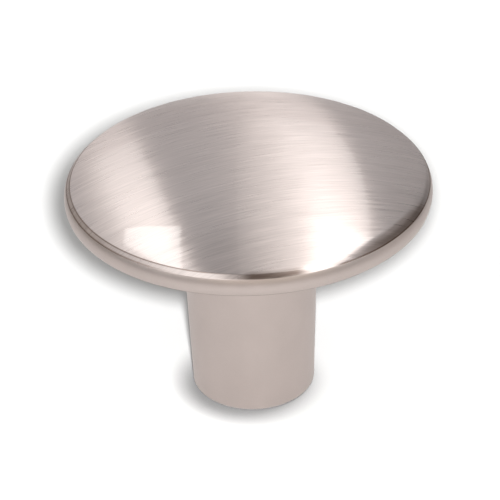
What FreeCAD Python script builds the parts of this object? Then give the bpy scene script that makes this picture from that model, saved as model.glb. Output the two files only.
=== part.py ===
import FreeCAD, Part
import os
from math import radians, sin, sqrt, tan

# A round mushroom knob for a cabinet door or drawer, cast in one piece.
# The axis is Z, the mounting face is the plane z = 0, and the domed face looks up.
# All lengths are in millimetres and all angles in degrees.

# Head
HEAD_DIAMETER = 32.0           # across the fullest part of the rim band
RIM_LOWER_HEIGHT = 19.3        # from the mounting face to the lower edge of the rim
RIM_BAND_HEIGHT = 1.65         # from the rim's lower edge to the crisp line round the face
RIM_BULGE = 0.22               # how far the middle of the band stands out past its edges
RIM_LOWER_ROUND = 0.35         # rounding of the rim's lower edge
BEVEL_WIDTH = 0.32             # narrow bevel between the crisp line and the dome, seen from above
BEVEL_HEIGHT = 0.32
DOME_HEIGHT = 3.42             # from the top of the bevel to the crown

# Stem
BASE_DIAMETER = 11.1           # of the stem where it meets the mounting face
STEM_DRAFT = 1.6               # casting draft of each side, narrow end at the mounting face
BASE_CHAMFER = 0.2
UNDERSIDE_FILLET = 1.5         # fillet between the stem and the flat underside of the head

# Hole for an M4 screw, as drilled before it is tapped
TAP_DRILL_DIAMETER = 3.3
TAP_DRILL_DEPTH = 12.0         # of the full diameter
DRILL_POINT_ANGLE = 118.0
COUNTERSINK_DIAMETER = 4.6
COUNTERSINK_ANGLE = 90.0


def point(radius, height):
    """A point of the half section, which lies in the XZ plane."""
    return FreeCAD.Vector(radius, 0, height)


def line(start, end):
    return Part.LineSegment(start, end).toShape()


def arc(start, end, centre):
    """The short arc from start to end about a centre."""
    outward = (start + end) * 0.5 - centre
    outward.normalize()
    return Part.Arc(start, centre + outward * (start - centre).Length, end).toShape()


def chain(corners):
    return [line(start, end) for start, end in zip(corners, corners[1:])]


def stem_radius(height):
    return BASE_DIAMETER / 2 + height * tan(radians(STEM_DRAFT))


def arc_radius(half_chord, rise):
    return (half_chord ** 2 + rise ** 2) / (2 * rise)


def face_edges(crisp_line):
    """The spherical dome and the bevel round it, from the crown to the crisp line."""
    bevel_top = crisp_line + point(-BEVEL_WIDTH, BEVEL_HEIGHT)
    crown = point(0, bevel_top.z + DOME_HEIGHT)
    dome_centre = crown - point(0, arc_radius(bevel_top.x, DOME_HEIGHT))
    return crown, [arc(crown, bevel_top, dome_centre), line(bevel_top, crisp_line)]


def band_edges(crisp_line):
    """The bulged band and the rounding of its lower edge, down to the underside."""
    half_height = RIM_BAND_HEIGHT / 2
    band_radius = arc_radius(half_height, RIM_BULGE)
    band_centre = point(HEAD_DIAMETER / 2 - band_radius, RIM_LOWER_HEIGHT + half_height)

    # The rounding touches the band from inside and the flat underside from above.
    reach = band_radius - RIM_LOWER_ROUND
    drop = half_height - RIM_LOWER_ROUND
    round_centre = band_centre + point(sqrt(reach ** 2 - drop ** 2), -drop)
    outward = (round_centre - band_centre).normalize()
    round_start = round_centre + outward * RIM_LOWER_ROUND
    round_end = round_centre - point(0, RIM_LOWER_ROUND)
    edges = [
        arc(crisp_line, round_start, band_centre),
        arc(round_start, round_end, round_centre),
    ]
    return edges, round_end


def neck_edges(rim_inner):
    """The underside, its fillet and the drafted side of the stem, down to the mounting face."""
    corner = point(stem_radius(RIM_LOWER_HEIGHT), RIM_LOWER_HEIGHT)
    chamfer_top = point(stem_radius(BASE_CHAMFER), BASE_CHAMFER)
    chamfer_end = point(stem_radius(0) - BASE_CHAMFER, 0)

    # The fillet's centre lies on the bisector of the corner between underside and stem.
    to_rim = (rim_inner - corner).normalize()
    to_base = (chamfer_top - corner).normalize()
    half_angle = to_rim.getAngle(to_base) / 2
    tangent_length = UNDERSIDE_FILLET / tan(half_angle)
    bisector = (to_rim + to_base).normalize()
    fillet_centre = corner + bisector * (UNDERSIDE_FILLET / sin(half_angle))
    fillet_start = corner + to_rim * tangent_length
    fillet_end = corner + to_base * tangent_length
    edges = [
        line(rim_inner, fillet_start),
        arc(fillet_start, fillet_end, fillet_centre),
        line(fillet_end, chamfer_top),
        line(chamfer_top, chamfer_end),
    ]
    return edges, chamfer_end


def hole_corners():
    """From the hole's mouth in the mounting face to the tip of the drill point."""
    drill_radius = TAP_DRILL_DIAMETER / 2
    mouth_radius = COUNTERSINK_DIAMETER / 2
    countersink_depth = (mouth_radius - drill_radius) / tan(radians(COUNTERSINK_ANGLE / 2))
    tip_length = drill_radius / tan(radians(DRILL_POINT_ANGLE / 2))
    return [
        point(mouth_radius, 0),
        point(drill_radius, countersink_depth),
        point(drill_radius, TAP_DRILL_DEPTH),
        point(0, TAP_DRILL_DEPTH + tip_length),
    ]


def knob():
    """The casting, turned from its half section round the Z axis."""
    crisp_line = point(HEAD_DIAMETER / 2 - RIM_BULGE, RIM_LOWER_HEIGHT + RIM_BAND_HEIGHT)
    crown, face = face_edges(crisp_line)
    band, rim_inner = band_edges(crisp_line)
    neck, base_outer = neck_edges(rim_inner)
    hole = chain([base_outer] + hole_corners() + [crown])
    section = Part.Face(Part.Wire(face + band + neck + hole))
    return section.revolve(FreeCAD.Vector(0, 0, 0), FreeCAD.Vector(0, 0, 1), 360)


os.makedirs("parts", exist_ok=True)
knob().exportStep("parts/knob.step")
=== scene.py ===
from math import acos, asin, atan2, cos, degrees, hypot, pi, radians, sin, sqrt, tan

import bpy
from mathutils import Matrix, Vector


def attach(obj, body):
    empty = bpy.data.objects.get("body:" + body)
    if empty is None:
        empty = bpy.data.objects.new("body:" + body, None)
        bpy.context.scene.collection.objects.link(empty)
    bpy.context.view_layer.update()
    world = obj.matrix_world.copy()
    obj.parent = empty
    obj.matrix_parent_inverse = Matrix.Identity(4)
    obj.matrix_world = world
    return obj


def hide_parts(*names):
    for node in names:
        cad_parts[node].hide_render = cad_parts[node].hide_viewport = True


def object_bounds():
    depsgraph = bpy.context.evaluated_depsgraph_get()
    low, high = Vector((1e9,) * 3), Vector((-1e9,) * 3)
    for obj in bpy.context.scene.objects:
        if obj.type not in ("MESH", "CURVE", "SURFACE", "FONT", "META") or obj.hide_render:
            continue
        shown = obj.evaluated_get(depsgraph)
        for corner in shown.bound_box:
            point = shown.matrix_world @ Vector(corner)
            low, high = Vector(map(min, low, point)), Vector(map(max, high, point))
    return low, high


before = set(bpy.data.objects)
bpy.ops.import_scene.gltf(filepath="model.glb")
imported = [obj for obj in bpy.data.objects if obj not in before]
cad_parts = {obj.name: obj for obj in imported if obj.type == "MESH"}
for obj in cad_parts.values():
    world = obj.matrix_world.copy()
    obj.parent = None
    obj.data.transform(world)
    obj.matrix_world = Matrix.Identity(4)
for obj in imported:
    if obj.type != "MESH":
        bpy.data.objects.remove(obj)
cad_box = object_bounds()

# Looks of a round mushroom knob of nickel plate, with lengths in millimetres and angles in degrees
MM = 0.001

# Sizes of the casting, the same as in the CAD source
HEAD_DIAMETER = (cad_box[1].x - cad_box[0].x) / MM
KNOB_HEIGHT = (cad_box[1].z - cad_box[0].z) / MM
RIM_LOWER_HEIGHT = 19.3
RIM_BAND_HEIGHT = 1.65
RIM_BULGE = 0.22
RIM_LOWER_ROUND = 0.35
BEVEL_WIDTH = 0.32
BEVEL_HEIGHT = 0.32
BASE_DIAMETER = 11.1
STEM_DRAFT = 1.6
BASE_CHAMFER = 0.2
UNDERSIDE_FILLET = 1.5
TAP_DRILL_DIAMETER = 3.3
TAP_DRILL_DEPTH = 12.0
DRILL_POINT_ANGLE = 118.0
COUNTERSINK_DIAMETER = 4.6
COUNTERSINK_ANGLE = 90.0

# M4 thread in the hole
THREAD_PITCH = 0.7
THREAD_ROOT_DIAMETER = 4.04
THREAD_DEPTH = 10.6            # where the tap's lead-in ends
THREAD_RUN_OUT = 1.8           # length over which the last turns fade
THREAD_CREST_SHARE = 0.25      # flat crest, as a share of the pitch
THREAD_ROOT_SHARE = 0.125      # flat root

# Fineness of the turned mesh
SEGMENTS = 240
ARC_STEP = 5.0                 # most degrees of turn between points of an arc
LONGEST_STEP = 0.8             # longest stretch between points of an arc
WORN_ROWS = 7                  # where the dome may be worn
BEVEL_ROWS = 4
UNDERSIDE_ROWS = 4
STEM_ROWS = 14
BASE_ROWS = 4
EDGE_SOFTNESS = 0.035          # how far a crisp edge is broken, each way
SAME_PLACE = 1e-6

# Direction of the brush lines on the face, from +X towards +Y
GRAIN_ANGLE = 14.1

# The brush has rounded the bevel's inner edge on one side, most in this direction
WORN_DIRECTION = -42.0
WORN_SPREAD = 72.0             # to each side, where the rounding has faded out
WORN_WIDTH = 0.6               # how far the full rounding reaches into the dome

# Camera, found from the photograph's outlines
CAMERA_PLACE = (0.0, -149.33, 109.59)
CAMERA_TARGET = (0.0, 0.0, 11.05)
CAMERA_YAW = -0.0048
CAMERA_PITCH = 0.6962
CAMERA_ROLL = -1.7319
CAMERA_LENS = 144.0
SENSOR_WIDTH = 36.0


def arc_radius(half_chord, rise):
    return (half_chord ** 2 + rise ** 2) / (2 * rise)


# Worked out from the sizes above
CRISP_RADIUS = HEAD_DIAMETER / 2 - RIM_BULGE           # of the line between bevel and band
CRISP_HEIGHT = RIM_LOWER_HEIGHT + RIM_BAND_HEIGHT
BEVEL_RADIUS = CRISP_RADIUS - BEVEL_WIDTH              # of the line between dome and bevel
BEVEL_TOP = CRISP_HEIGHT + BEVEL_HEIGHT
DOME_RADIUS = arc_radius(BEVEL_RADIUS, KNOB_HEIGHT - BEVEL_TOP)
DOME_CENTRE = (0.0, KNOB_HEIGHT - DOME_RADIUS)


def towards(azimuth, elevation=0.0):
    """Unit direction, with the azimuth turned from +X towards +Y."""
    flat = cos(radians(elevation))
    return Vector((flat * cos(radians(azimuth)), flat * sin(radians(azimuth)), sin(radians(elevation))))


def heading(start, end):
    return degrees(atan2(end[1] - start[1], end[0] - start[0]))


class Outline:
    """Half section of the casting: points with the way they face, walked from the crown to the hole."""

    def __init__(self):
        self.rows = []

    def add(self, radius, height, facing, finish):
        last = self.rows[-1] if self.rows else (-1.0, 0.0)
        if hypot(radius - last[0], height - last[1]) > SAME_PLACE:
            self.rows.append((radius, height, facing, finish))

    def arc(self, centre, radius, start_angle, end_angle, finish, hollow=False, steps=None):
        """Points along an arc, with angles of the spoke from the centre."""
        stride = min(ARC_STEP, degrees(LONGEST_STEP / radius))
        steps = steps or max(2, round(abs(end_angle - start_angle) / stride))
        for step in range(steps + 1):
            angle = start_angle + (end_angle - start_angle) * step / steps
            x = centre[0] + radius * cos(radians(angle))
            z = centre[1] + radius * sin(radians(angle))
            self.add(x, z, angle + (180 if hollow else 0), finish)

    def line(self, start, end, finish, steps=1):
        """A straight stretch, which stops short of both ends to leave room for the broken edges."""
        length = hypot(end[0] - start[0], end[1] - start[1])
        gap = min(EDGE_SOFTNESS, length / 4) / length
        facing = heading(start, end) + 90
        for step in range(steps + 1):
            share = gap + (1 - 2 * gap) * step / steps
            x = start[0] + (end[0] - start[0]) * share
            z = start[1] + (end[1] - start[1]) * share
            self.add(x, z, facing, finish)


def stem_radius(height):
    return BASE_DIAMETER / 2 + height * tan(radians(STEM_DRAFT))


def dome_angle(radius):
    """Angle of the spoke from the dome's centre to the place this far from the axis."""
    return degrees(acos(radius / DOME_RADIUS))


def face_outline(outline):
    """The spherical dome, with close rows where it may be worn, and the bevel."""
    worn_from = dome_angle(BEVEL_RADIUS - WORN_WIDTH)
    dome_end = dome_angle(BEVEL_RADIUS - EDGE_SOFTNESS)
    outline.arc(DOME_CENTRE, DOME_RADIUS, 90, worn_from, "face")
    outline.arc(DOME_CENTRE, DOME_RADIUS, worn_from, dome_end, "face", steps=WORN_ROWS)
    outline.line((BEVEL_RADIUS, BEVEL_TOP), (CRISP_RADIUS, CRISP_HEIGHT), "face", steps=BEVEL_ROWS)


def band_outline(outline):
    """The bulged band and the rounding of its lower edge."""
    half = RIM_BAND_HEIGHT / 2
    band_radius = arc_radius(half, RIM_BULGE)
    centre = (HEAD_DIAMETER / 2 - band_radius, RIM_LOWER_HEIGHT + half)
    top_angle = degrees(asin(half / band_radius))
    drop = half - RIM_LOWER_ROUND
    reach = band_radius - RIM_LOWER_ROUND
    low_angle = -degrees(asin(drop / reach))
    soften = degrees(EDGE_SOFTNESS / band_radius)
    outline.arc(centre, band_radius, top_angle - soften, low_angle, "satin")
    round_centre = (centre[0] + reach * cos(radians(low_angle)), centre[1] - drop)
    outline.arc(round_centre, RIM_LOWER_ROUND, low_angle, -90, "satin")
    return round_centre[0]


def neck_outline(outline, rim_inner):
    """The underside, its fillet, the stem and the mounting face."""
    corner = (stem_radius(RIM_LOWER_HEIGHT), RIM_LOWER_HEIGHT)
    half_angle = radians(90 + STEM_DRAFT) / 2
    tangent = UNDERSIDE_FILLET / tan(half_angle)
    centre = (corner[0] + tangent, RIM_LOWER_HEIGHT - UNDERSIDE_FILLET)
    for step in range(1, UNDERSIDE_ROWS):
        radius = rim_inner + (centre[0] - rim_inner) * step / UNDERSIDE_ROWS
        outline.add(radius, RIM_LOWER_HEIGHT, -90, "satin")
    outline.arc(centre, UNDERSIDE_FILLET, 90, 180 - STEM_DRAFT, "satin", hollow=True)
    fillet_end = centre[1] + UNDERSIDE_FILLET * sin(radians(STEM_DRAFT))
    stem_bottom = BASE_CHAMFER + EDGE_SOFTNESS
    for step in range(1, STEM_ROWS + 1):
        height = fillet_end + (stem_bottom - fillet_end) * step / STEM_ROWS
        outline.add(stem_radius(height), height, -STEM_DRAFT, "satin")
    chamfer_top = (stem_radius(BASE_CHAMFER), BASE_CHAMFER)
    chamfer_end = (BASE_DIAMETER / 2 - BASE_CHAMFER, 0.0)
    outline.line(chamfer_top, chamfer_end, "satin")
    outline.line(chamfer_end, (COUNTERSINK_DIAMETER / 2, 0.0), "base", steps=BASE_ROWS)


def casting_outline():
    outline = Outline()
    face_outline(outline)
    rim_inner = band_outline(outline)
    neck_outline(outline, rim_inner)
    return outline.rows


class Turned:
    """A mesh turned round Z, with a direction to face and a finish for every point."""

    def __init__(self):
        self.places = []
        self.facings = []
        self.faces = []
        self.finishes = []

    def point(self, radius, height, angle, facing=None):
        self.places.append(Vector((radius * cos(angle), radius * sin(angle), height)) * MM)
        if facing is None:
            self.facings.append(None)
        else:
            flat = cos(radians(facing))
            self.facings.append(Vector((flat * cos(angle), flat * sin(angle), sin(radians(facing)))))
        return len(self.places) - 1

    def ring(self, radius, height, facing=None):
        if radius < SAME_PLACE:
            return [self.point(0.0, height, 0.0, facing)] * SEGMENTS
        return [self.point(radius, height, 2 * pi * j / SEGMENTS, facing) for j in range(SEGMENTS)]

    def face(self, corners, finish):
        kept = [c for n, c in enumerate(corners) if c != corners[n - 1]]
        if len(kept) > 2:
            self.faces.append(kept)
            self.finishes.append(finish)

    def strip(self, before, after, finish):
        for j in range(SEGMENTS):
            k = (j + 1) % SEGMENTS
            self.face((before[j], after[j], after[k], before[k]), finish)


def worn_share(place):
    """How far the brush has rounded the edge in the direction of a place, from 0 to 1."""
    turn = (degrees(atan2(place.y, place.x)) - WORN_DIRECTION + 180) % 360 - 180
    return max(0.0, 1 - (turn / WORN_SPREAD) ** 2) ** 2


def wear_edge(mesh):
    """Lowers the edge between dome and bevel to an arc from the dome to the crisp line, on the worn side."""
    spoke = radians(dome_angle(BEVEL_RADIUS - WORN_WIDTH))
    outward = Vector((cos(spoke), sin(spoke)))
    start = Vector(DOME_CENTRE) + outward * DOME_RADIUS
    chord = Vector((CRISP_RADIUS, CRISP_HEIGHT)) - start
    radius = chord.length_squared / (-2 * chord.dot(outward))
    centre = start - outward * radius
    for n, place in enumerate(mesh.places):
        out = hypot(place.x, place.y) / MM
        if out > start.x and place.z > CRISP_HEIGHT * MM:
            rise = sqrt(radius ** 2 - (out - centre.x) ** 2)
            share = worn_share(place)
            side = (out - centre.x) / radius / (out * MM)
            facing = Vector((place.x * side, place.y * side, rise / radius))
            mesh.facings[n] = mesh.facings[n].lerp(facing, share).normalized()
            place.z += (centre.y + rise - place.z / MM) * share * MM


def thread_rows():
    """Place in the pitch and share of the thread's depth, at each corner of its profile."""
    crest = THREAD_CREST_SHARE / 2
    root = THREAD_ROOT_SHARE / 2
    return [
        (crest, 0.0),
        ((crest + 0.5 - root) / 2, 0.5),
        (0.5 - root, 1.0),
        (0.5 + root, 1.0),
        (1 - (crest + 0.5 - root) / 2, 0.5),
        (1 - crest, 0.0),
    ]


def threaded_wall(mesh, mouth):
    """The wall of the hole from its mouth to where the thread ends, on rows that follow the helix."""
    profile = thread_rows()
    crest = TAP_DRILL_DIAMETER / 2
    depth = THREAD_ROOT_DIAMETER / 2 - crest
    countersink = tan(radians(COUNTERSINK_ANGLE / 2))
    end = mesh.ring(crest, THREAD_DEPTH)
    made = {}

    def corner(row, column):
        if column == SEGMENTS:
            return corner(row + len(profile), 0)
        turn, place = divmod(row, len(profile))
        share, deep = profile[place]
        height = (turn + share + column / SEGMENTS) * THREAD_PITCH
        if height <= 0:
            return mouth[column]
        if height >= THREAD_DEPTH:
            return end[column]
        if (row, column) not in made:
            fade = min(1.0, (THREAD_DEPTH - height) / THREAD_RUN_OUT)
            radius = max(crest + depth * deep * fade, COUNTERSINK_DIAMETER / 2 - height * countersink)
            made[row, column] = mesh.point(radius, height, 2 * pi * column / SEGMENTS)
        return made[row, column]

    rows = len(profile) * (int(THREAD_DEPTH / THREAD_PITCH) + 2)
    for row in range(-2 * len(profile), rows):
        for column in range(SEGMENTS):
            here = corner(row, column)
            above = corner(row + 1, column)
            above_next = corner(row + 1, column + 1)
            here_next = corner(row, column + 1)
            mesh.face((here, above, above_next, here_next), "thread")
    return end


def hole(mesh, mouth):
    end = threaded_wall(mesh, mouth)
    drill = TAP_DRILL_DIAMETER / 2
    tip_length = drill / tan(radians(DRILL_POINT_ANGLE / 2))
    last = mesh.ring(drill, TAP_DRILL_DEPTH)
    mesh.strip(end, last, "thread")
    mesh.strip(last, mesh.ring(0.0, TAP_DRILL_DEPTH + tip_length), "thread")


def turned_casting():
    mesh = Turned()
    before = None
    for radius, height, facing, finish in casting_outline():
        ring = mesh.ring(radius, height, facing)
        if before:
            mesh.strip(before, ring, last_finish)
        before, last_finish = ring, finish
    mouth = mesh.ring(COUNTERSINK_DIAMETER / 2, 0.0)
    mesh.strip(before, mouth, last_finish)
    wear_edge(mesh)
    hole(mesh, mouth)
    return mesh


def casting_object(materials):
    """The turned mesh as one closed Blender object."""
    turned = turned_casting()
    data = bpy.data.meshes.new("knob_casting")
    data.from_pydata(turned.places, [], turned.faces)
    slots = list(materials)
    for name in slots:
        data.materials.append(materials[name])
    for polygon, finish in zip(data.polygons, turned.finishes):
        polygon.material_index = slots.index(finish)
        polygon.use_smooth = True
    data.update()
    normals = [facing or vertex.normal for facing, vertex in zip(turned.facings, data.vertices)]
    data.normals_split_custom_set_from_vertices(normals)
    piece = bpy.data.objects.new("knob_casting", data)
    bpy.context.collection.objects.link(piece)
    return piece


class Nodes:
    """Short calls for building the nodes of a material or the world."""

    def __init__(self, owner, shader="Principled BSDF"):
        self.owner = owner
        owner.use_nodes = True
        self.tree = owner.node_tree
        self.surface = self.tree.nodes[shader]

    def node(self, kind, settings=None, **inputs):
        made = self.tree.nodes.new(kind)
        for name, value in (settings or {}).items():
            setattr(made, name, value)
        for name, value in inputs.items():
            self.feed(made, name.replace("_", " "), value)
        return made

    def feed(self, node, name, value):
        socket = node.inputs[int(name) if name.isdigit() else name]
        if isinstance(value, bpy.types.NodeSocket):
            self.tree.links.new(value, socket)
        else:
            socket.default_value = value

    def shader(self, name, value):
        self.feed(self.surface, name, value)

    def math(self, operation, first, second):
        made = self.node("ShaderNodeMath", {"operation": operation})
        self.feed(made, "0", first)
        self.feed(made, "1", second)
        return made.outputs[0]

    def vector(self, operation, first, second=None, scale=None):
        made = self.node("ShaderNodeVectorMath", {"operation": operation})
        self.feed(made, "0", first)
        if second is not None:
            self.feed(made, "1", second)
        if scale is not None:
            self.feed(made, "Scale", scale)
        return made.outputs["Value" if operation in ("LENGTH", "DOT_PRODUCT") else "Vector"]

    def noise(self, vector, scale, detail=2.0):
        """Noise on stretched coordinates, as a value about one half."""
        stretched = self.node("ShaderNodeMapping", Vector=vector, Scale=scale)
        made = self.node("ShaderNodeTexNoise", Vector=stretched.outputs[0], Scale=1.0, Detail=detail)
        return made.outputs["Fac"]

    def spread(self, value, low, high, to_low, to_high, smooth=False):
        made = self.node("ShaderNodeMapRange", Value=value)
        made.interpolation_type = "SMOOTHSTEP" if smooth else "LINEAR"
        for name, number in (("From Min", low), ("From Max", high), ("To Min", to_low), ("To Max", to_high)):
            made.inputs[name].default_value = number
        return made.outputs[0]

    def mix(self, share, first, second):
        made = self.node("ShaderNodeMix", {"data_type": "RGBA"})
        self.feed(made, "0", share)
        for name, colour in (("6", first), ("7", second)):
            self.feed(made, name, (*colour, 1.0) if isinstance(colour, tuple) else colour)
        return made.outputs[2]

    def bump(self, height, depth):
        made = self.node("ShaderNodeBump", Height=height, Strength=1.0, Distance=depth * MM)
        return made.outputs[0]

    def place(self):
        return self.node("ShaderNodeTexCoord").outputs["Object"]


# Colours of the metals
FACE_DARK = (0.545, 0.468, 0.444)
FACE_LIGHT = (0.755, 0.652, 0.622)
SATIN_DARK = (0.585, 0.505, 0.473)
SATIN_LIGHT = (0.61, 0.527, 0.494)
BASE_DARK = (0.50, 0.46, 0.43)
BASE_LIGHT = (0.60, 0.55, 0.51)
ZINC_DARK = (0.42, 0.42, 0.42)
ZINC_LIGHT = (0.55, 0.54, 0.53)
PAINTED_SHADE_BROWN = (0.16, 0.085, 0.05)  # dark brown of the painted shade and painted dark reflections in the edges of the face and under the rim

# Marks of the brush, in cells per metre along the brush lines, across them and upwards
BRUSH_FINE = (280, 8500, 0)
BRUSH_MARKS = (300, 5200, 0)
BRUSH_BANDS = (60, 1200, 0)
BRUSH_LEAN = (180, 7000, 0)
METAL_SLOPE = 0.038            # how far the marks in the metal lean along the grain
METAL_SLOPE_ACROSS = 0.1
LACQUER_SLOPE = 0.013          # how far they still lean in the lacquer over it

# Marks of the other surfaces, in cells per metre, and their depths in millimetres
SATIN_GRAIN = (9000, 9000, 9000)
SATIN_CLOUDS = (350, 350, 250)
SATIN_DEPTH = 0.0012
FACING_MARKS = (2500, 2500, 2500)
FACING_RINGS = 900.0
THREAD_MARKS = (1500, 1500, 9000)
CUT_DEPTH = 0.002


def edge_painted_shade(nodes, place):
    """Share of painted shade and painted reflection: dark lines painted in the two crisp edges on one side,
    and dark patches painted on parts of the worn edge where it reflects dark parts of the room.

    Each mark has its radius, half its width and its share, the azimuth of its middle, and the angles
    from there at which it begins to fade and has gone.
    """
    marks = (
        (BEVEL_RADIUS, 0.07, 0.75, 152, 101, 119),
        (CRISP_RADIUS, 0.10, 0.75, 152, 83, 99),
        (CRISP_RADIUS, 0.12, 0.85, -18, 43, 47),
        (BEVEL_RADIUS + 0.1, 0.4, 0.65, -83, 6, 10),
        (BEVEL_RADIUS + 0.15, 0.35, 0.4, -27, 14, 29),
    )
    flat = nodes.vector("MULTIPLY", place, (1, 1, 0))
    out = nodes.vector("LENGTH", flat)
    way = nodes.vector("NORMALIZE", flat)
    share = 0.0
    # Each mark is painted shade or a painted dark reflection, not a deposit on the metal
    for radius, half_width, most, middle, fades, gone in marks:
        apart = nodes.math("ABSOLUTE", nodes.math("SUBTRACT", out, radius * MM), 0.0)
        line = nodes.spread(apart, 0.25 * half_width * MM, half_width * MM, most, 0.0)
        turn = nodes.vector("DOT_PRODUCT", way, towards(middle))
        kept = nodes.spread(turn, cos(radians(gone)), cos(radians(fades)), 0.0, 1.0, smooth=True)
        share = nodes.math("MAXIMUM", share, nodes.math("MULTIPLY", line, kept))
    return share


def brushed_face():
    """Straight brushing across the dome: long thin marks, with their highlights stretched across them."""
    nodes = Nodes(bpy.data.materials.new("brushed_nickel"))
    place = nodes.place()
    turn = nodes.node("ShaderNodeMapping", Vector=place, Rotation=(0, 0, -radians(GRAIN_ANGLE)))
    along = turn.outputs[0]
    fine = nodes.noise(along, BRUSH_FINE, detail=1.0)
    marks = nodes.noise(along, BRUSH_MARKS, detail=1.0)
    bands = nodes.noise(along, BRUSH_BANDS, detail=1.0)
    lines = nodes.math("ADD", nodes.math("MULTIPLY", fine, 0.5), nodes.math("MULTIPLY", marks, 0.5))
    tone = nodes.math("ADD", nodes.math("MULTIPLY", lines, 0.8), nodes.math("MULTIPLY", bands, 0.2))
    metal = nodes.mix(nodes.spread(tone, 0.3, 0.7, 0, 1), FACE_DARK, FACE_LIGHT)
    # The base colour carries painted shade and painted dark reflections round the edge of the face
    nodes.shader("Base Color", nodes.mix(edge_painted_shade(nodes, place), metal, PAINTED_SHADE_BROWN))
    nodes.shader("Metallic", 1.0)
    nodes.shader("Roughness", nodes.spread(marks, 0.3, 0.7, 0.27, 0.32))
    nodes.shader("Anisotropic", 0.98)
    grain = (cos(radians(GRAIN_ANGLE)), sin(radians(GRAIN_ANGLE)), 0)
    across = nodes.node("ShaderNodeCombineXYZ", X=-grain[1], Y=grain[0])
    nodes.shader("Tangent", across.outputs[0])

    # The marks lean a little both ways, and leaning along the grain frays the edges of the highlights
    out = nodes.node("ShaderNodeNewGeometry").outputs["Normal"]
    lean = nodes.math("SUBTRACT", nodes.noise(along, BRUSH_LEAN, detail=0.0), 0.5)
    tip = nodes.math("MULTIPLY", nodes.math("SUBTRACT", lines, 0.5), METAL_SLOPE_ACROSS)
    ground = nodes.vector("SCALE", grain, scale=nodes.math("MULTIPLY", lean, METAL_SLOPE))
    ground = nodes.vector("ADD", ground, nodes.vector("SCALE", across.outputs[0], scale=tip))
    nodes.shader("Normal", nodes.vector("NORMALIZE", nodes.vector("ADD", out, ground)))
    lacquer = nodes.vector("SCALE", grain, scale=nodes.math("MULTIPLY", lean, LACQUER_SLOPE))
    facing = nodes.node("ShaderNodeLayerWeight", Blend=0.5).outputs["Facing"]
    nodes.shader("Coat Weight", nodes.spread(facing, 0.25, 0.7, 1.0, 0.1))
    nodes.shader("Coat Roughness", 0.04)
    nodes.shader("Coat IOR", 2.1)
    nodes.shader("Coat Normal", nodes.vector("NORMALIZE", nodes.vector("ADD", out, lacquer)))
    return nodes.owner


def satin_plating():
    """Fine even satin of the cast and plated band, underside and stem, with a thin line of painted shade in
    the rim's lower edge.
    """
    nodes = Nodes(bpy.data.materials.new("satin_nickel"))
    place = nodes.place()
    grain = nodes.noise(place, SATIN_GRAIN)
    clouds = nodes.noise(place, SATIN_CLOUDS)
    metal = nodes.mix(nodes.spread(clouds, 0.3, 0.7, 0, 1), SATIN_DARK, SATIN_LIGHT)
    height = nodes.node("ShaderNodeSeparateXYZ", Vector=place).outputs[2]
    # A thin dark line of painted shade along the rim's lower edge, where the band overhangs the underside
    line_height = RIM_LOWER_HEIGHT + 0.06
    apart = nodes.math("ABSOLUTE", nodes.math("SUBTRACT", height, line_height * MM), 0.0)
    out = nodes.vector("LENGTH", nodes.vector("MULTIPLY", place, (1, 1, 0)))
    rim = nodes.spread(out, (CRISP_RADIUS - 1) * MM, CRISP_RADIUS * MM, 0.0, 0.8)
    rim_edge_shade = nodes.math("MULTIPLY", nodes.spread(apart, 0.04 * MM, 0.12 * MM, 1.0, 0.0), rim)
    nodes.shader("Base Color", nodes.mix(rim_edge_shade, metal, PAINTED_SHADE_BROWN))
    nodes.shader("Metallic", 1.0)
    nodes.shader("Roughness", nodes.spread(grain, 0.3, 0.7, 0.36, 0.46))
    nodes.shader("Normal", nodes.bump(grain, SATIN_DEPTH))
    return nodes.owner


def faced_base():
    """The mounting face, with the faint rings that a facing tool leaves under the plating."""
    nodes = Nodes(bpy.data.materials.new("faced_nickel"))
    place = nodes.place()
    kind = {"wave_type": "RINGS", "rings_direction": "Z"}
    rings = nodes.node("ShaderNodeTexWave", kind, Vector=place, Scale=FACING_RINGS, Distortion=0.4)
    nodes.shader("Base Color", nodes.mix(rings.outputs["Fac"], BASE_DARK, BASE_LIGHT))
    nodes.shader("Metallic", 1.0)
    nodes.shader("Roughness", nodes.spread(nodes.noise(place, FACING_MARKS), 0.3, 0.7, 0.28, 0.42))
    nodes.shader("Normal", nodes.bump(rings.outputs["Fac"], CUT_DEPTH))
    return nodes.owner


def cut_thread():
    """Bare zinc alloy where the tap has cut."""
    nodes = Nodes(bpy.data.materials.new("cut_zinc"))
    place = nodes.place()
    marks = nodes.noise(place, THREAD_MARKS)
    nodes.shader("Base Color", nodes.mix(nodes.spread(marks, 0.3, 0.7, 0, 1), ZINC_DARK, ZINC_LIGHT))
    nodes.shader("Metallic", 1.0)
    nodes.shader("Roughness", nodes.spread(marks, 0.3, 0.7, 0.22, 0.36))
    nodes.shader("Normal", nodes.bump(marks, CUT_DEPTH))
    return nodes.owner


def make_knob():
    materials = {
        "face": brushed_face(),
        "satin": satin_plating(),
        "base": faced_base(),
        "thread": cut_thread(),
    }
    piece = casting_object(materials)
    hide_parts("knob")
    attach(piece, "root")
    return piece


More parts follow.
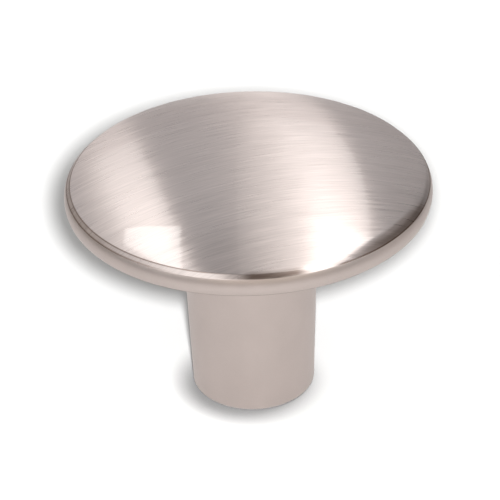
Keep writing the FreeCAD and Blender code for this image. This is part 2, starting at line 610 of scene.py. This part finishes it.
def make_camera():
    """The photograph's camera, turned a little from the line between its place and its target."""
    place = Vector(CAMERA_PLACE) * MM
    ahead = (Vector(CAMERA_TARGET) * MM - place).normalized()
    right = Vector((1, 0, 0))
    up = right.cross(ahead)
    yaw, pitch, roll = (radians(angle) for angle in (CAMERA_YAW, CAMERA_PITCH, CAMERA_ROLL))
    ahead = ahead * cos(yaw) * cos(pitch) + right * sin(yaw) * cos(pitch) + up * sin(pitch)
    level = ahead.cross(up).normalized()
    above = level.cross(ahead)
    right = level * cos(roll) + above * sin(roll)
    up = above * cos(roll) - level * sin(roll)
    data = bpy.data.cameras.new("camera")
    data.lens = CAMERA_LENS
    data.sensor_width = SENSOR_WIDTH
    data.clip_start = 0.01
    data.clip_end = 10.0
    camera = bpy.data.objects.new("camera", data)
    camera.matrix_world = Matrix((right, up, -ahead)).transposed().to_4x4()
    camera.matrix_world.translation = place
    bpy.context.collection.objects.link(camera)
    bpy.context.scene.camera = camera


# Level soft boxes, whose sides are given as slopes from the knob's foot: sideways or away, for each step up
LAMP_HEIGHT = 420.0            # above the floor
LAMP_COLOUR = (1.0, 0.995, 0.97)
LAMP_COLOUR_FADED = (1.0, 0.93, 0.85)


def softbox(name, across, away, level, fades, drop=0.0):
    """A rectangular lamp that fades out at its sides, hung a little lower where it overlaps another.

    Each fade has the way its side faces, how far out the light ends, and how wide it fades before that.
    """
    data = bpy.data.lights.new(name, "AREA")
    data.shape = "RECTANGLE"
    data.size = (across[1] - across[0]) * LAMP_HEIGHT * MM
    data.size_y = (away[1] - away[0]) * LAMP_HEIGHT * MM
    data.energy = level * pi * data.size * data.size_y
    nodes = Nodes(data, "Emission")
    place = nodes.node("ShaderNodeNewGeometry").outputs["Position"]
    strength = 1.0
    for facing, out, width in fades:
        reached = nodes.vector("DOT_PRODUCT", place, towards(facing) / (LAMP_HEIGHT * MM))
        left = nodes.spread(reached, out - width, out, 1.0, 0.0, smooth=True)
        strength = nodes.math("MULTIPLY", strength, left)
    nodes.shader("Strength", strength)
    nodes.shader("Color", nodes.mix(strength, LAMP_COLOUR_FADED, LAMP_COLOUR))
    lamp = bpy.data.objects.new(name, data)
    middle = Vector((sum(across) / 2, sum(away) / 2, 1))
    lamp.location = middle * LAMP_HEIGHT * MM - Vector((0, 0, drop * MM))
    lamp.visible_camera = False
    bpy.context.collection.objects.link(lamp)


def make_lights():
    """A long soft box on each side of the knob, hottest over it, and smaller ones towards the camera."""
    softbox("left_long", (-2.0, -0.05), (-0.6, 4.0), 0.68,
            [(12.6, -0.187, 0.05), (195.8, 0.66, 0.33), (-90, 0.6, 0.4)])
    softbox("left_hot", (-0.62, -0.28), (0.05, 0.64), 1.5,
            [(0, -0.285, 0.015), (59.4, 0.235, 0.015), (217, 0.2, 0.03), (180, 0.6, 0.03)], drop=8)
    softbox("right_long", (-0.22, 0.85), (-0.6, 4.0), 0.75,
            [(-3.4, 0.555, 0.04), (180, 0.22, 0.58), (-90, 0.6, 0.3)])
    softbox("right_hot", (0.2, 0.61), (-0.4, 0.52), 1.3,
            [(0, 0.61, 0.03), (180, -0.2, 0.16), (90, 0.52, 0.12), (-90, 0.4, 0.3)], drop=8)
    softbox("right_front", (0.1, 0.8), (-0.7, 0.1), 1.3,
            [(231, 0.06, 0.06), (0, 0.74, 0.08), (90, 0.02, 0.15), (-90, 0.6, 0.15)], drop=12)
    softbox("left_near", (-2.4, -0.12), (-1.8, -0.1), 1.3,
            [(0, -0.14, 0.2), (90, -0.1, 0.5)], drop=4)
    softbox("right_near", (0.45, 2.4), (-1.8, -0.35), 1.2,
            [(180, -0.47, 0.05), (90, -0.36, 0.08)], drop=4)


def make_world():
    """A grey room, with lighter and darker parts where the knob's edges reflect them."""
    world = bpy.data.worlds.new("studio")
    bpy.context.scene.world = world
    nodes = Nodes(world, "Background")
    direction = nodes.node("ShaderNodeTexCoord").outputs["Generated"]

    def patch(colour, way, inner, outer, tone):
        """Tones the world inside a cone about a way, and blends between its inner and outer angle."""
        facing = nodes.vector("DOT_PRODUCT", direction, way)
        share = nodes.spread(facing, cos(radians(outer)), cos(radians(inner)), 0.0, 1.0, smooth=True)
        return nodes.mix(share, colour, tone)

    # The pale wall behind the knob, and parts of the room low in front and at the left
    colour = patch((0.40, 0.405, 0.415), towards(90, 20), 20, 65, (0.62, 0.625, 0.635))
    colour = patch(colour, towards(-80, 5), 20, 45, (0.7, 0.64, 0.57))
    colour = patch(colour, towards(160, 5), 15, 38, (0.3, 0.27, 0.24))

    # Dark gaps between the lamps, which give the worn edge its two dark crescents
    colour = patch(colour, towards(15, 27), 22, 30, (0.05, 0.035, 0.025))
    colour = patch(colour, towards(-68, 56), 15, 20, (0.05, 0.035, 0.025))

    # Light in front and at the right, which the top of the band reflects
    colour = patch(colour, towards(-95, 22), 8, 20, (0.95, 0.88, 0.81))
    colour = patch(colour, towards(2, 3), 8, 18, (0.75, 0.72, 0.69))
    nodes.shader("Color", colour)


# The floor's tone is painted darker near the knob and lighter far out, as painted shade round the knob, and
# is darkest in the shadow at its foot
FLOOR_HALF_WIDTH = 2000.0
FLOOR_TONE_NEAR_SHADED = 0.40         # painted darker, out to FLOOR_NEAR from the knob's foot
FLOOR_TONE_FAR_LIT = 0.62          # painted lighter, from FLOOR_FAR on
FLOOR_NEAR = 30.0
FLOOR_FAR = 120.0
FLOOR_TONE_REFLECTED = 0.30    # as the knob reflects it
CONTACT_REACH = 2.2            # how far the shadow at the foot spreads
CONTACT_TONE = 0.32            # what that shadow leaves of the floor's tone
CONTACT_LEAN = Vector((0.5, 0.6, 0.7))  # towards the light, so that the shadow lies on the other side

# A small lamp beside the camera lights the floor alone, and gives the narrow shadow round the knob
FLOOR_LAMP_PLACE = (2.9, -123.6, 96.1)
FLOOR_LAMP_DIAMETER = 9.5
FLOOR_LAMP_POWER = 31.0


def make_floor():
    """A pale floor, painted darker near the knob, which keeps the knob's soft shadow."""
    data = bpy.data.meshes.new("floor")
    half = FLOOR_HALF_WIDTH * MM
    corners = [(-half, -half, 0), (half, -half, 0), (half, half, 0), (-half, half, 0)]
    data.from_pydata(corners, [], [(0, 1, 2, 3)])
    floor = bpy.data.objects.new("floor", data)
    bpy.context.collection.objects.link(floor)
    nodes = Nodes(bpy.data.materials.new("white_paper"))
    lean = nodes.node("ShaderNodeCombineXYZ", X=CONTACT_LEAN.x, Y=CONTACT_LEAN.y, Z=CONTACT_LEAN.z)
    contact = nodes.node("ShaderNodeAmbientOcclusion", Distance=CONTACT_REACH * MM, Normal=lean.outputs[0])
    shade = nodes.spread(contact.outputs["AO"], 0.4, 1.0, CONTACT_TONE, 1.0)
    apart = nodes.vector("LENGTH", nodes.place())
    # Painted shade round the knob: the floor's tone is darker near it and lighter far out
    painted_floor_tone = nodes.spread(apart, FLOOR_NEAR * MM, FLOOR_FAR * MM, FLOOR_TONE_NEAR_SHADED, FLOOR_TONE_FAR_LIT)
    tone = nodes.math("MULTIPLY", shade, painted_floor_tone)
    seen = nodes.node("ShaderNodeLightPath").outputs["Is Camera Ray"]
    unseen = nodes.math("SUBTRACT", 1.0, seen)
    reflected = nodes.math("MULTIPLY", unseen, FLOOR_TONE_REFLECTED)
    tone = nodes.math("ADD", nodes.math("MULTIPLY", tone, seen), reflected)
    grey = nodes.node("ShaderNodeCombineColor", Red=tone, Green=tone, Blue=tone)
    nodes.shader("Base Color", grey.outputs[0])
    nodes.shader("Roughness", 0.9)
    data.materials.append(nodes.owner)
    return floor


def make_floor_lamp(floor):
    """A small round lamp for the floor alone, whose light doesn't weaken with distance."""
    data = bpy.data.lights.new("floor_lamp", "AREA")
    data.shape = "DISK"
    data.size = FLOOR_LAMP_DIAMETER * MM
    data.energy = FLOOR_LAMP_POWER
    nodes = Nodes(data, "Emission")
    nodes.shader("Strength", nodes.node("ShaderNodeLightFalloff", Strength=1.0).outputs["Constant"])
    lamp = bpy.data.objects.new("floor_lamp", data)
    lamp.location = Vector(FLOOR_LAMP_PLACE) * MM
    lamp.rotation_euler = (Vector(CAMERA_TARGET) * MM - lamp.location).to_track_quat("-Z", "Y").to_euler()
    lamp.visible_camera = False
    bpy.context.collection.objects.link(lamp)
    lit = bpy.data.collections.new("lit_by_floor_lamp")
    lit.objects.link(floor)
    lamp.light_linking.receiver_collection = lit


make_knob()
make_camera()
make_lights()
make_world()
make_floor_lamp(make_floor())
bpy.context.scene.view_settings.view_transform = "Standard"
